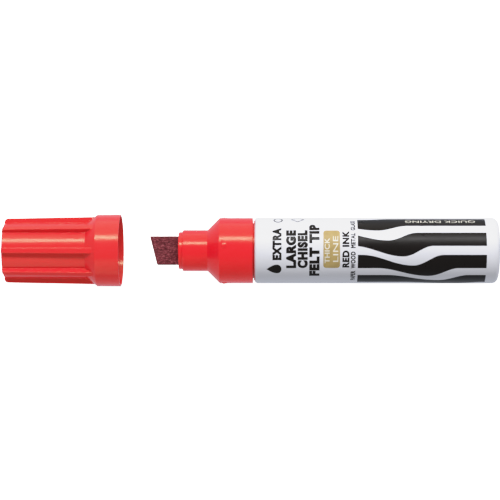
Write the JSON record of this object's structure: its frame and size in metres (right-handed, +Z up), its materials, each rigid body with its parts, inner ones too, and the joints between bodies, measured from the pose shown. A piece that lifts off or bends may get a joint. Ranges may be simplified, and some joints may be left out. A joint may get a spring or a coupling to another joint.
{
  "type": "felt tip marker",
  "caption": "Jumbo felt tip marker with a wide slanted chisel nib, a round white barrel, and a ribbed red cap that slides off along the marker's axis.",
  "frame": {"origin": "under the middle of the marker and its pulled-off cap, on the surface that the rim of the cap rests on", "axes": "+X along the marker from the cap through the nib to the closed end of the barrel; +Y towards the long corner of the nib; +Z up, through the printed side of the barrel"},
  "size_m": [0.1656, 0.0242, 0.0243],
  "materials": {
    "barrel_paint": "satin",
    "red_plastic": "gloss",
    "felt": "matte",
    "reservoir_fibre": "matte",
    "film": "gloss",
    "gasket_rubber": "matte",
    "cap_plastic": "gloss",
    "inner_cap_plastic": "satin"
  },
  "bodies": {
    "marker": {"barrel": "barrel_paint", "nose_piece": "red_plastic", "nib": "felt", "ink_reservoir": "reservoir_fibre", "reservoir_film": "film", "mouth_gasket": "gasket_rubber"},
    "cap": {"cap": "cap_plastic", "inner_cap": "inner_cap_plastic"}
  },
  "joints": [
    {"name": "cap_slide", "type": "slide", "parent": "marker", "child": "cap", "axis": [1, 0, 0], "range_m": [0, 0.0415]}
  ]
}
